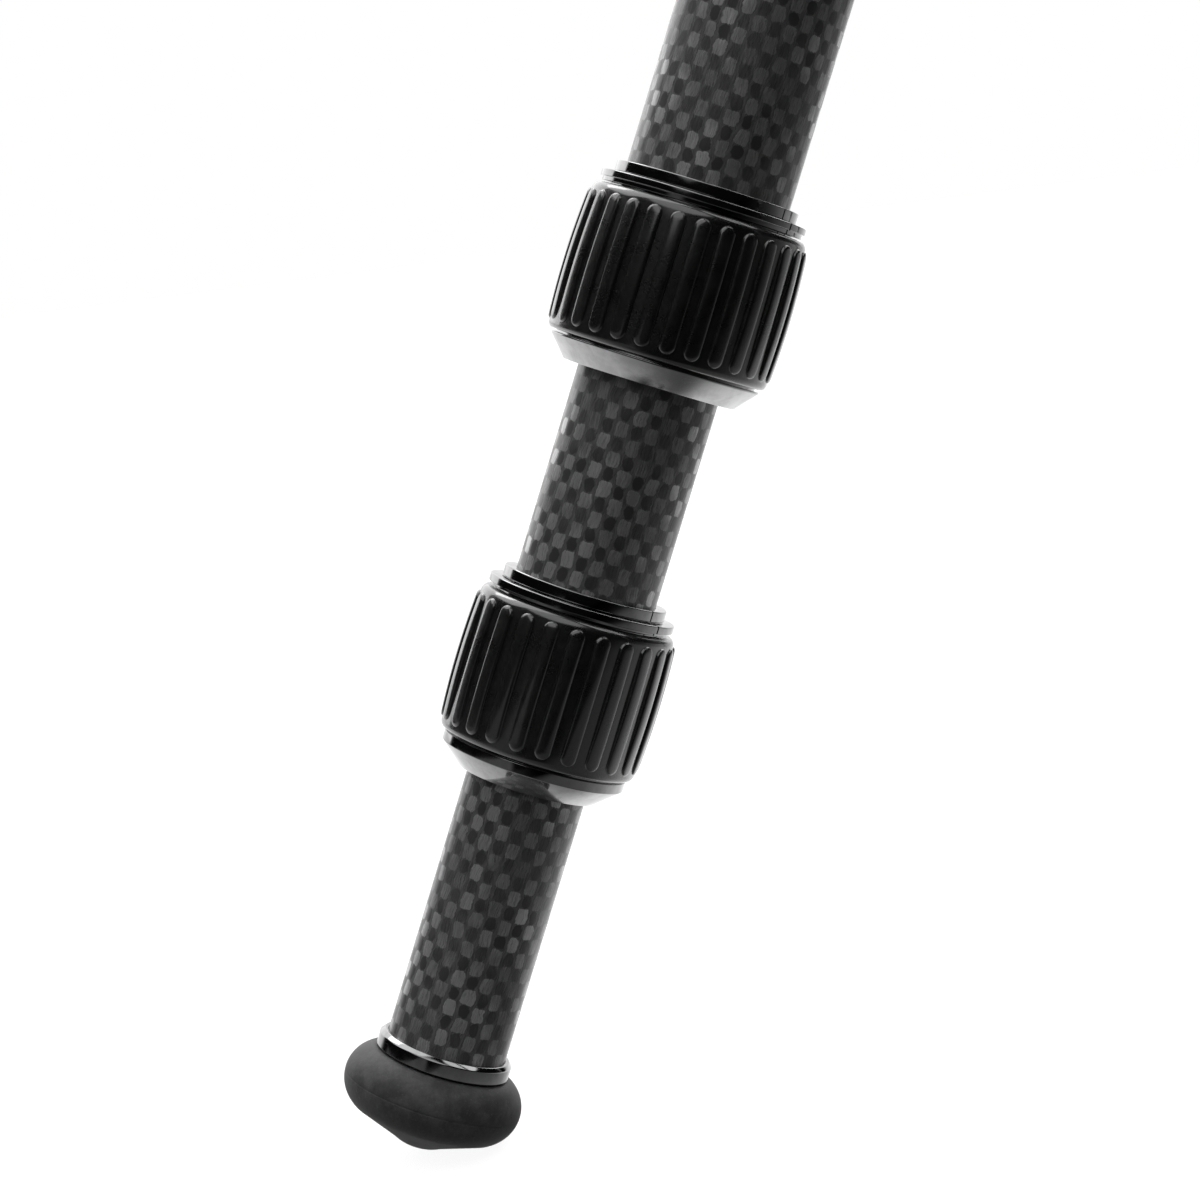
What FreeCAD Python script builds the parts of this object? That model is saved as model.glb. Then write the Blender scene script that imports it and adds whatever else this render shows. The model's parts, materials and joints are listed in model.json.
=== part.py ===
# Camera tripod: three carbon legs with twist locks, a shoulder casting, a sliding centre column
# and a head platform. All sizes are in millimetres. The origin is on the floor, midway between
# the three feet, with +Z up. The first leg leans out towards -X.
import FreeCAD
import Part
import math
import os
from FreeCAD import Placement, Rotation, Vector

# Stance
leg_azimuths = {"leg1": 180.0, "leg2": 300.0, "leg3": 60.0}
leg_tilt = 24.0
hinge_radius = 40.0

# Clearances
glue_gap = 0.02
slide_clearance = 0.05
turn_clearance = 0.08
face_gap = 0.3

# Leg tubes
upper_tube_od = 29.0
tube_wall = 1.5
mid_shim_wall = 0.4
low_shim_wall = 0.35
upper_tube_length = 330.0
tube_end_room = 3.0
shim_length = 40.0

# How far the two inner sections stand out of their locks
low_exposed = 48.4
mid_exposed = 36.7

# Foot, its metal collar and the stud that carries it
foot_collar_height = 3.0
foot_collar_step = 1.35
foot_collar_bevel = 0.7
foot_plug_depth = 16.0
foot_stud_radius = 4.0
foot_stud_length = 9.0
foot_top_gap = 0.4
foot_top_radius = 12.4
foot_bulge_radius = 16.0
foot_bulge_drop = 5.8
foot_edge_radius = 13.2
foot_sole_drop = 16.92
foot_tip_radius = 5.0
foot_tip_round = 1.2

# Parts that both sizes of twist lock share
cone_lip_height = 1.4
groove_depth = 0.8
groove_height = 0.5
narrow_ring_height = 1.9
ring_groove_height = 0.2
ring_bevel = 0.3
collar_gap = 0.35
skirt_wall = 1.6
nut_wall = 1.3
collet_height = 10.0
collet_step = 1.0
collet_slit = 2.0
collar_skirt_start = 14.0
collar_slit = 0.3
collar_slit_azimuth = 140.0
grip_low_shoulder = 1.1
grip_low_inset = 0.68
grip_high_shoulder = 1.5
grip_high_inset = 1.12
rib_low_height = 0.25
rib_middle_height = 0.72
rib_high_height = 0.4
rib_width = 2.8
rib_margin = 1.6
rib_round = 0.4
rib_dome_radius = 6.0
rib_root = 1.2

# Lower lock: its radial steps are taken from the mid tube, except the lip's
lower_lip_step = 1.65
lower_cone_height = 3.6
lower_land_step = 3.85
lower_land_height = 1.7
lower_grip_height = 25.8
lower_crest_low_step = 5.2
lower_crest_middle_step = 5.75
lower_crest_high_step = 5.25
lower_under_ring_step = 3.45
lower_under_ring_height = 0.45
lower_wide_ring_step = 4.05
lower_wide_ring_height = 1.35
lower_narrow_ring_step = 2.05
lower_rib_count = 24
lower_rib_azimuth = 84.5

# Upper lock: its radial steps are taken from the upper tube, except the lip's
upper_lip_step = 2.75
upper_cone_height = 3.7
upper_land_step = 4.1
upper_land_height = 0.3
upper_grip_height = 26.1
upper_crest_low_step = 5.3
upper_crest_middle_step = 5.7
upper_crest_high_step = 4.95
upper_under_ring_step = 3.3
upper_under_ring_height = 0.75
upper_wide_ring_step = 3.75
upper_wide_ring_height = 1.2
upper_narrow_ring_step = 1.7
upper_rib_count = 28
upper_rib_azimuth = 84.5

# Knuckle at the top of each leg, measured from the hinge pin
knuckle_wall = 2.7
knuckle_sleeve_length = 36.0
knuckle_tube_drop = 16.0
knuckle_half_width = 10.0
knuckle_flat_drop = 13.0
knuckle_neck_radius = 11.5
knuckle_neck_drop = 5.0
knuckle_top = 20.0
knuckle_top_radius = 9.5
hinge_pin_radius = 4.0
hinge_head_radius = 7.0
hinge_head_height = 3.0
hinge_socket_width = 5.0
hinge_socket_depth = 2.0

# Angle latch, a bar that slides through the knuckle above the pin
latch_width = 12.0
latch_height = 4.0
latch_drop = 12.0
latch_nose = 15.0
latch_tab_width = 16.0
latch_tab_height = 8.0
latch_tab_thickness = 4.5

# Shoulder casting, measured from the height of the hinge pins
hub_radius = 24.0
hub_drop = 13.0
hub_rise = 13.0
hub_collar_radius = 20.0
hub_collar_height = 4.0
hub_skirt_radius = 17.5
hub_skirt_length = 18.0
cheek_thickness = 5.2
cheek_gap = 0.2
cheek_radius = 10.5

# Centre column
column_radius = 14.0
column_wall = 1.5
column_length = 230.0
bushing_wall = 1.44
bushing_tail = 5.0
column_nut_height = 30.0
column_nut_wall = 1.5
column_nut_lip = 3.0
column_grip_height = 24.0
column_grip_wall = 1.6
column_grip_barrel = 0.5
column_rib_count = 30
column_rib_azimuth = 0.0

# Head platform and its stud
plate_radius = 25.0
plate_height = 8.0
plate_edge = 1.5
plate_stub_depth = 18.0
stud_radius = 4.7625
stud_height = 9.5
stud_root_radius = 4.0
stud_root = 5.0
stud_chamfer = 0.8
stud_relief_gap = 0.2
stud_relief_depth = 0.3

# Hook under the column
hook_flange_height = 3.0
hook_plug_depth = 12.0
hook_eye_radius = 8.0
hook_wire_radius = 2.0

# Radii that follow from the tubes
upper_r = upper_tube_od / 2
mid_r = upper_r - tube_wall - mid_shim_wall - slide_clearance
low_r = mid_r - tube_wall - low_shim_wall - slide_clearance

# Stations along the leg, up from the lower edge of the foot's collar
lower_lock_start = foot_collar_height + low_exposed


def axial(values):
    """Running sum of heights."""
    out = [0.0]
    for value in values:
        out.append(out[-1] + value)
    return out


class TwistLock:
    """Levels and radii of one twist lock, from its lower face up."""

    def __init__(self, start, outer_r, inner_r, lip_step, cone_height, land_step, land_height,
                 grip_height, crest_low_step, crest_middle_step, crest_high_step, under_step,
                 under_height, wide_step, wide_height, narrow_step, rib_count, rib_azimuth):
        self.outer_r = outer_r
        self.inner_r = inner_r
        self.lip_r = inner_r + lip_step
        self.land_r = outer_r + land_step
        self.crest_low_r = outer_r + crest_low_step
        self.crest_middle_r = outer_r + crest_middle_step
        self.crest_high_r = outer_r + crest_high_step
        self.under_r = outer_r + under_step
        self.wide_r = outer_r + wide_step
        self.narrow_r = outer_r + narrow_step
        self.skirt_r = outer_r + skirt_wall
        self.bore_r = self.skirt_r + turn_clearance
        self.nut_r = self.bore_r + nut_wall
        self.rib_count = rib_count
        self.rib_azimuth = rib_azimuth
        levels = axial([cone_height, land_height, groove_height, grip_height, collar_gap,
                        under_height, wide_height, ring_groove_height, narrow_ring_height])
        levels = [start + level for level in levels]
        (self.start, self.cone_top, self.land_top, self.grip_start, self.grip_top,
         self.under_start, self.wide_start, self.wide_top, self.narrow_start, self.top) = levels
        self.skirt_start = start + collar_skirt_start


lower_lock = TwistLock(lower_lock_start, mid_r, low_r, lower_lip_step, lower_cone_height,
                       lower_land_step, lower_land_height, lower_grip_height, lower_crest_low_step,
                       lower_crest_middle_step, lower_crest_high_step, lower_under_ring_step,
                       lower_under_ring_height, lower_wide_ring_step, lower_wide_ring_height,
                       lower_narrow_ring_step, lower_rib_count, lower_rib_azimuth)
upper_lock = TwistLock(lower_lock.top + mid_exposed, upper_r, mid_r, upper_lip_step,
                       upper_cone_height, upper_land_step, upper_land_height, upper_grip_height,
                       upper_crest_low_step, upper_crest_middle_step, upper_crest_high_step,
                       upper_under_ring_step, upper_under_ring_height, upper_wide_ring_step,
                       upper_wide_ring_height, upper_narrow_ring_step, upper_rib_count,
                       upper_rib_azimuth)

# Tube ends: each inner tube stops short of the end above it when its section is pushed home
upper_tube_start = upper_lock.skirt_start
upper_tube_end = upper_tube_start + upper_tube_length
mid_tube_start = lower_lock.skirt_start
mid_tube_end = upper_tube_end - mid_exposed - tube_end_room
low_tube_end = mid_tube_end - low_exposed - tube_end_room
pin_station = upper_tube_end + knuckle_tube_drop

# Place of the hinge pins over the floor
tilt = math.radians(leg_tilt)
pin_height = (foot_sole_drop + pin_station) * math.cos(tilt)


def turned(outline):
    """Solid of revolution about Z; a point is (r, z), and an arc is (through r, z, end r, z)."""
    edges = []
    here = Vector(outline[0][0], 0, outline[0][1])
    for item in outline[1:] + [outline[0]]:
        there = Vector(item[-2], 0, item[-1])
        if len(item) == 4:
            edges.append(Part.Arc(here, Vector(item[0], 0, item[1]), there).toShape())
        else:
            edges.append(Part.LineSegment(here, there).toShape())
        here = there
    face = Part.Face(Part.Wire(edges))
    return face.revolve(Vector(0, 0, 0), Vector(0, 0, 1), 360)


def tube(inner_r, outer_r, start, end):
    """Plain sleeve along Z."""
    return turned([(inner_r, start), (outer_r, start), (outer_r, end), (inner_r, end)])


def box(x0, x1, half_y, z0, z1):
    """Block that is centred on the plane y = 0."""
    return Part.makeBox(x1 - x0, 2 * half_y, z1 - z0, Vector(x0, -half_y, z0))


def rod_y(radius, half_length, x=0.0, z=0.0):
    """Cylinder along Y, centred on the plane y = 0."""
    return Part.makeCylinder(radius, 2 * half_length, Vector(x, -half_length, z), Vector(0, 1, 0))


def turned_about_z(shape, angle):
    """Copy of a shape, turned about Z."""
    copy = shape.copy()
    copy.rotate(Vector(0, 0, 0), Vector(0, 0, 1), angle)
    return copy


def raised(shape, height):
    """Copy of a shape, moved along Z."""
    copy = shape.copy()
    copy.translate(Vector(0, 0, height))
    return copy


def hexagon(width, depth, centre, direction):
    """Hexagonal prism, given by its width across flats."""
    corner = width / math.sqrt(3)
    points = [Vector(corner * math.cos(math.radians(60 * i)), corner * math.sin(math.radians(60 * i)), 0)
              for i in range(7)]
    prism = Part.Face(Part.makePolygon(points)).extrude(Vector(0, 0, depth))
    prism.Placement = Placement(centre, Rotation(Vector(0, 0, 1), direction))
    return prism


def rib(low_r, middle_r, high_r, sleeve_start, sleeve_end):
    """One long rib towards +X, with round ends, a domed crest and softened edges."""
    half = rib_width / 2
    sink = min(low_r, high_r) - rib_root
    start = sleeve_start + rib_margin
    end = sleeve_end - rib_margin
    low = Vector(sink, -half, start + half)
    high = Vector(sink, half, end - half)
    wire = Part.Wire([
        Part.Arc(low, Vector(sink, 0, start), Vector(sink, half, start + half)).toShape(),
        Part.LineSegment(Vector(sink, half, start + half), high).toShape(),
        Part.Arc(high, Vector(sink, 0, end), Vector(sink, -half, end - half)).toShape(),
        Part.LineSegment(Vector(sink, -half, end - half), low).toShape(),
    ])
    stock = Part.Face(wire).extrude(Vector(2 * rib_root + middle_r - sink, 0, 0))
    dome_x = middle_r - rib_dome_radius
    crown = turned_about_z(turned([
        (0, sleeve_start), (low_r - dome_x, sleeve_start),
        (rib_dome_radius, (sleeve_start + sleeve_end) / 2, high_r - dome_x, sleeve_end),
        (0, sleeve_end),
    ]), 180)
    crown.translate(Vector(dome_x, 0, 0))
    body = stock.common(crown)
    rim = [edge for edge in body.Edges if edge.BoundBox.XMin > sink + rib_round]
    return body.makeFillet(rib_round, rim)


def grip(inner_r, low_r, middle_r, high_r, start, end, count, azimuth):
    """Rubber sleeve with rounded shoulders and raised ribs; the radii are those of the crests."""
    land_low = low_r - rib_low_height
    land_middle = middle_r - rib_middle_height
    land_high = high_r - rib_high_height
    flat = 1 - math.sqrt(0.5)
    sleeve = turned([
        (inner_r, start), (land_low - grip_low_inset, start),
        (land_low - grip_low_inset * flat, start + grip_low_shoulder * flat,
         land_low, start + grip_low_shoulder),
        (land_middle, (start + end) / 2, land_high, end - grip_high_shoulder),
        (land_high - grip_high_inset * flat, end - grip_high_shoulder * flat,
         land_high - grip_high_inset, end),
        (inner_r, end),
    ])
    first = turned_about_z(rib(low_r, middle_r, high_r, start, end), azimuth)
    ribs = [turned_about_z(first, 360.0 * i / count) for i in range(count)]
    return sleeve.fuse(ribs)


def lock_collar(lock):
    """Three rings and a threaded skirt, bonded over the lower end of a tube."""
    bore = lock.outer_r + glue_gap
    neck = lock.narrow_r - groove_depth
    body = turned([
        (bore, lock.skirt_start), (lock.skirt_r, lock.skirt_start),
        (lock.skirt_r, lock.under_start), (lock.under_r, lock.under_start),
        (lock.under_r, lock.wide_start), (lock.wide_r, lock.wide_start),
        (lock.wide_r, lock.wide_top - ring_bevel), (lock.wide_r - ring_bevel, lock.wide_top),
        (neck, lock.wide_top), (neck, lock.narrow_start), (lock.narrow_r, lock.narrow_start),
        (lock.narrow_r, lock.top - ring_bevel), (lock.narrow_r - ring_bevel, lock.top),
        (bore, lock.top),
    ])
    slit = Part.makeBox(lock.wide_r, collar_slit, lock.top - lock.under_start,
                        Vector(lock.skirt_r - skirt_wall / 2, -collar_slit / 2, lock.under_start))
    return body.cut(turned_about_z(slit, collar_slit_azimuth))


def lock_nut(lock):
    """Turning sleeve with a conical lower ring, threaded over the collar's skirt."""
    lip_bore = lock.inner_r + turn_clearance + slide_clearance
    pocket = lock.outer_r + collet_step
    neck = lock.land_r - groove_depth
    return turned([
        (lip_bore, lock.start), (lock.lip_r, lock.start),
        (lock.land_r, lock.cone_top), (lock.land_r, lock.land_top),
        (neck, lock.land_top), (neck, lock.grip_start),
        (lock.nut_r, lock.grip_start), (lock.nut_r, lock.under_start - face_gap),
        (lock.bore_r, lock.under_start - face_gap), (lock.bore_r, lock.skirt_start - face_gap),
        (pocket, lock.skirt_start - face_gap), (pocket, lock.start + cone_lip_height + groove_depth
                                                + pocket - lip_bore),
        (lip_bore, lock.start + cone_lip_height),
    ])


def lock_collet(lock):
    """Split clamping sleeve between the collar and the nut's taper."""
    top = lock.skirt_start - face_gap / 2
    start = top - collet_height
    lip_bore = lock.inner_r + turn_clearance + slide_clearance
    pocket = lock.outer_r + collet_step
    taper_start = lock.start + cone_lip_height
    taper_height = groove_depth + pocket - lip_bore
    outer = pocket - turn_clearance * 2

    def taper_r(level):
        rise = (level - taper_start) / taper_height
        return min(outer, lip_bore + rise * (pocket - lip_bore) - turn_clearance * 2)

    inner = lock.inner_r + slide_clearance
    bend = taper_start + taper_height
    outline = [(inner, start), (max(inner + collar_slit, taper_r(start)), start)]
    if start < bend:
        outline.append((outer, bend))
    outline += [(outer, top), (inner, top)]
    slit = Part.makeBox(outer * 2, collet_slit, collet_height, Vector(0, -collet_slit / 2, start))
    return turned(outline).cut(slit)


def lock_grip(lock):
    return grip(lock.nut_r + glue_gap, lock.crest_low_r, lock.crest_middle_r, lock.crest_high_r,
                lock.grip_start, lock.grip_top, lock.rib_count, lock.rib_azimuth)


def shims(tube_r, wall, end):
    """Two half sleeves bonded round the upper end of an inner tube."""
    sleeve = tube(tube_r + glue_gap, tube_r + wall, end - shim_length, end)
    half = collar_slit / 2
    parts = []
    for side in (0, 180):
        keep = Part.makeBox(4 * tube_r, 2 * tube_r, shim_length,
                            Vector(-2 * tube_r, half, end - shim_length))
        parts.append(sleeve.common(turned_about_z(keep, side)))
    return Part.makeCompound(parts)


def foot_plug():
    """Metal collar, the plug inside the low tube and the stud inside the foot."""
    collar_r = low_r + foot_collar_step
    plug_r = low_r - tube_wall - glue_gap
    return turned([
        (0, -foot_top_gap - foot_stud_length), (foot_stud_radius, -foot_top_gap - foot_stud_length),
        (foot_stud_radius, 0), (collar_r, 0),
        (collar_r, foot_collar_height - foot_collar_bevel),
        (collar_r - foot_collar_bevel, foot_collar_height),
        (low_r + glue_gap, foot_collar_height), (low_r + glue_gap, foot_collar_height / 2),
        (plug_r, foot_collar_height / 2), (plug_r, foot_collar_height / 2 + foot_plug_depth),
        (0, foot_collar_height / 2 + foot_plug_depth),
    ])


def bulge_arc(radius_a, drop_a):
    """Point halfway along an arc that leaves the foot's widest circle along the axis."""
    reach = foot_bulge_radius - radius_a
    fall = drop_a
    arc_r = (reach * reach + fall * fall) / (2 * reach)
    half = math.asin(fall / arc_r) / 2
    return foot_bulge_radius - arc_r + arc_r * math.cos(half), arc_r * math.sin(half)


def foot():
    """Rubber foot with a conical sole: at the first leg angle one line of the cone is level."""
    slope = math.tan(tilt)
    edge_drop = foot_sole_drop - slope * foot_edge_radius
    top_r, top_rise = bulge_arc(foot_top_radius, foot_bulge_drop - foot_top_gap)
    low_arc_r, low_arc_fall = bulge_arc(foot_edge_radius, edge_drop - foot_bulge_drop)
    stud_bore = foot_stud_radius + glue_gap
    bore_end = -foot_top_gap - foot_stud_length - face_gap
    tip = -foot_sole_drop + slope * foot_tip_radius
    return turned([
        (stud_bore, -foot_top_gap), (stud_bore, bore_end), (0, bore_end),
        (0, tip - foot_tip_round), (foot_tip_radius * 0.6, tip - foot_tip_round * 0.75,
                                    foot_tip_radius, tip),
        (foot_edge_radius, -edge_drop),
        (low_arc_r, -foot_bulge_drop - low_arc_fall, foot_bulge_radius, -foot_bulge_drop),
        (top_r, -foot_bulge_drop + top_rise, foot_top_radius, -foot_top_gap),
    ])


def knuckle_stock():
    """Round stock of the knuckle, from its sleeve to the rounded top, about the pin."""
    sleeve_r = upper_r + knuckle_wall
    sleeve_top = -knuckle_tube_drop
    crown = knuckle_top - knuckle_top_radius / 3
    return turned([
        (0, sleeve_top - knuckle_sleeve_length), (sleeve_r - foot_collar_bevel,
                                                  sleeve_top - knuckle_sleeve_length),
        (sleeve_r, sleeve_top - knuckle_sleeve_length + foot_collar_bevel),
        (sleeve_r, sleeve_top),
        (knuckle_neck_radius, -knuckle_neck_drop), (knuckle_neck_radius, crown),
        (knuckle_top_radius * 0.94, (crown + 2 * knuckle_top) / 3, knuckle_top_radius * 0.7,
         knuckle_top),
        (0, knuckle_top),
    ])


def latch_bar(extra, nose, tail):
    """Bar of the latch, grown by a clearance on its four sides."""
    return box(-nose, tail, latch_width / 2 + extra, latch_drop - extra,
               latch_drop + latch_height + extra)


def knuckle():
    """Sleeve on the upper tube with a flattened head for the hinge pin and the latch."""
    body = knuckle_stock()
    side = Part.makeBox(4 * upper_r, 2 * upper_r, 2 * knuckle_top + knuckle_flat_drop,
                        Vector(-2 * upper_r, knuckle_half_width, -knuckle_flat_drop))
    body = body.cut([side, turned_about_z(side, 180)])
    socket = Part.makeCylinder(upper_r + glue_gap, knuckle_sleeve_length + glue_gap,
                               Vector(0, 0, -knuckle_tube_drop - knuckle_sleeve_length))
    pin_bore = rod_y(hinge_pin_radius + slide_clearance, 2 * upper_r)
    window = latch_bar(2 * slide_clearance, 2 * upper_r, 2 * upper_r)
    return body.cut([socket, pin_bore, window])


def latch():
    """Sliding bar with a pull tab; its nose rests on the shoulder's stop face."""
    tab_x = knuckle_neck_radius + face_gap
    middle = latch_drop + latch_height / 2
    bar = latch_bar(0, latch_nose, tab_x)
    tab = box(tab_x, tab_x + latch_tab_thickness, latch_tab_width / 2,
              middle - latch_tab_height / 2, middle + latch_tab_height / 2)
    return bar.fuse(tab).removeSplitter()


def to_leg(shape, azimuth):
    """Move a shape from its place about the hinge pin to a leg's real place."""
    lean = Placement(Vector(hinge_radius, 0, pin_height), Rotation(Vector(0, 1, 0), -leg_tilt))
    swing = Placement(Vector(0, 0, 0), Rotation(Vector(0, 0, 1), azimuth))
    copy = shape.copy()
    copy.Placement = swing.multiply(lean).multiply(copy.Placement)
    return copy


def to_top(shape, azimuth):
    """Move a shape from the hinge height on the +X side to a leg's side of the shoulder."""
    return turned_about_z(raised(shape, pin_height), azimuth)


def tilted(shape):
    """Lean a shape about the hinge pin, on the +X side and at hinge height zero."""
    lean = Placement(Vector(hinge_radius, 0, 0), Rotation(Vector(0, 1, 0), -leg_tilt))
    copy = shape.copy()
    copy.Placement = lean.multiply(copy.Placement)
    return copy


def spider():
    """Shoulder casting: hub, three pairs of cheeks, stop faces and the column lock's thread."""
    bore_r = column_radius + slide_clearance + bushing_wall + glue_gap
    body = turned([
        (bore_r, -hub_drop - hub_skirt_length), (hub_skirt_radius, -hub_drop - hub_skirt_length),
        (hub_skirt_radius, -hub_drop), (hub_radius, -hub_drop), (hub_radius, hub_rise),
        (hub_collar_radius, hub_rise), (hub_collar_radius, hub_rise + hub_collar_height),
        (bore_r, hub_rise + hub_collar_height),
    ])
    inner = knuckle_half_width + cheek_gap
    outer = inner + cheek_thickness
    lug = rod_y(cheek_radius, outer, hinge_radius).fuse(
        box(bore_r, hinge_radius, outer, -cheek_radius, cheek_radius))
    core = Part.makeCylinder(bore_r, 2 * hub_drop + 2 * hub_rise, Vector(0, 0, -2 * hub_drop))
    lug = lug.cut(core)
    slot = box(hub_radius - cheek_gap, 2 * hinge_radius, inner, -2 * cheek_radius, 2 * cheek_radius)
    room = box(-knuckle_neck_radius - 2 * cheek_gap, 2 * upper_r, inner,
               -knuckle_neck_drop, 2 * knuckle_top)
    latch_room = box(-latch_nose - 2 * slide_clearance, 2 * upper_r,
                     latch_width / 2 + cheek_gap, latch_drop - 2 * cheek_gap, 2 * knuckle_top)
    pin_bore = rod_y(hinge_pin_radius + glue_gap, 2 * outer, hinge_radius)
    for azimuth in leg_azimuths.values():
        body = body.fuse(turned_about_z(lug, azimuth))
    for azimuth in leg_azimuths.values():
        cuts = [slot, tilted(room), tilted(latch_room), pin_bore]
        body = body.cut([turned_about_z(cut, azimuth) for cut in cuts])
    return raised(body, pin_height)


def hinge_bolt():
    """Shaft with a socket head on each side of the cheeks."""
    outer = knuckle_half_width + cheek_gap + cheek_thickness
    full = outer + hinge_head_height
    body = rod_y(hinge_pin_radius, full)
    for side in (-1, 1):
        head = Part.makeCylinder(hinge_head_radius, hinge_head_height,
                                 Vector(0, side * outer, 0), Vector(0, side, 0))
        socket = hexagon(hinge_socket_width, hinge_socket_depth,
                         Vector(0, side * (full - hinge_socket_depth), 0), Vector(0, side, 0))
        body = body.fuse(head).cut(socket)
    body.translate(Vector(hinge_radius, 0, 0))
    return body


def column_parts():
    """Everything on the shoulder's own axis, by node name."""
    bushing_bore = column_radius + slide_clearance
    bushing_r = bushing_bore + bushing_wall
    skirt_end = -hub_drop - hub_skirt_length
    top = hub_rise + hub_collar_height
    column_inner = column_radius - column_wall - glue_gap
    plate_start = top + face_gap
    column_start = plate_start - column_length
    bushing = tube(bushing_bore, bushing_r, skirt_end - bushing_tail, top)

    nut_bore = hub_skirt_radius + turn_clearance
    nut_r = nut_bore + column_nut_wall
    nut_top = -hub_drop - face_gap
    nut_start = nut_top - column_nut_height
    pocket_start = nut_start + column_nut_lip
    nut = turned([
        (bushing_bore + turn_clearance, nut_start), (nut_r, nut_start), (nut_r, nut_top),
        (nut_bore, nut_top), (nut_bore, skirt_end - face_gap),
        (bushing_r + turn_clearance, skirt_end - face_gap),
        (bushing_r + turn_clearance, pocket_start), (bushing_bore + turn_clearance, pocket_start),
    ])
    grip_start = nut_start + (column_nut_height - column_grip_height) / 2
    crest_r = nut_r + column_grip_wall + rib_low_height
    nut_grip = grip(nut_r + glue_gap, crest_r, crest_r + column_grip_barrel, crest_r, grip_start,
                    grip_start + column_grip_height, column_rib_count, column_rib_azimuth)

    stud_hole = stud_root_radius + glue_gap
    plate_top = plate_start + plate_height
    relief_r = stud_radius + stud_relief_gap
    relief_floor = plate_top - stud_relief_depth
    plate = turned([
        (stud_hole, plate_top - stud_root), (stud_hole, relief_floor),
        (relief_r, relief_floor), (relief_r, plate_top),
        (plate_radius - plate_edge, plate_top), (plate_radius, plate_top - plate_edge),
        (plate_radius, plate_start + plate_edge), (plate_radius - plate_edge, plate_start),
        (column_inner, plate_start), (column_inner, plate_start - plate_stub_depth),
        (0, plate_start - plate_stub_depth), (0, plate_top - stud_root),
    ])
    stud_end = plate_top + stud_height
    stud = turned([
        (0, plate_top - stud_root), (stud_root_radius, plate_top - stud_root),
        (stud_root_radius, plate_top), (stud_radius, plate_top),
        (stud_radius, stud_end - stud_chamfer), (stud_radius - stud_chamfer, stud_end),
        (0, stud_end),
    ])

    flange_start = column_start - hook_flange_height
    cap = turned([
        (0, flange_start), (column_radius - plate_edge, flange_start),
        (column_radius, flange_start + plate_edge), (column_radius, column_start),
        (column_inner, column_start), (column_inner, column_start + hook_plug_depth),
        (0, column_start + hook_plug_depth),
    ])
    eye = Part.makeTorus(hook_eye_radius, hook_wire_radius,
                         Vector(0, 0, flange_start - hook_eye_radius), Vector(0, 1, 0))
    parts = {
        "column_bushing": bushing,
        "column_lock_nut": nut,
        "column_lock_grip": nut_grip,
        "centre_column": tube(column_radius - column_wall, column_radius, column_start, plate_start),
        "head_platform": plate,
        "head_stud": stud,
        "column_hook": cap.fuse(eye),
    }
    return {name: raised(shape, pin_height) for name, shape in parts.items()}


def leg_parts():
    """Pieces of one leg, upright, with the foot collar's lower edge at z = 0."""
    return {
        "upper_tube": tube(upper_r - tube_wall, upper_r, upper_tube_start, upper_tube_end),
        "upper_lock_collar": lock_collar(upper_lock),
        "upper_lock_collet": lock_collet(upper_lock),
        "upper_lock_nut": lock_nut(upper_lock),
        "upper_lock_grip": lock_grip(upper_lock),
        "mid_tube": tube(mid_r - tube_wall, mid_r, mid_tube_start, mid_tube_end),
        "mid_shims": shims(mid_r, mid_shim_wall, mid_tube_end),
        "lower_lock_collar": lock_collar(lower_lock),
        "lower_lock_collet": lock_collet(lower_lock),
        "lower_lock_nut": lock_nut(lower_lock),
        "lower_lock_grip": lock_grip(lower_lock),
        "low_tube": tube(low_r - tube_wall, low_r, foot_collar_height / 2 + glue_gap, low_tube_end),
        "low_shims": shims(low_r, low_shim_wall, low_tube_end),
        "foot_plug": foot_plug(),
        "foot": foot(),
    }


def main():
    os.makedirs("parts", exist_ok=True)
    nodes = {"shoulder": spider()}
    bolt = hinge_bolt()
    nodes["hinge_bolts"] = Part.makeCompound(
        [to_top(bolt, azimuth) for azimuth in leg_azimuths.values()])
    nodes.update(column_parts())
    pieces = {name: raised(shape, -pin_station) for name, shape in leg_parts().items()}
    pieces["knuckle"] = knuckle()
    pieces["angle_latch"] = latch()
    for leg, azimuth in leg_azimuths.items():
        for name, shape in pieces.items():
            nodes[leg + "_" + name] = to_leg(shape, azimuth)
    for name, shape in nodes.items():
        if not shape.isValid():
            raise ValueError(name + " is not a valid solid")
        shape.exportStep(os.path.join("parts", name + ".step"))
    print(len(nodes), "nodes; pin station", round(pin_station, 3), "pin height", round(pin_height, 3))


main()
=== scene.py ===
import json
import math

import bmesh
import bpy
from bpy.props import FloatProperty, FloatVectorProperty, IntProperty, PointerProperty
from mathutils import Euler, Matrix, Vector


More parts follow.
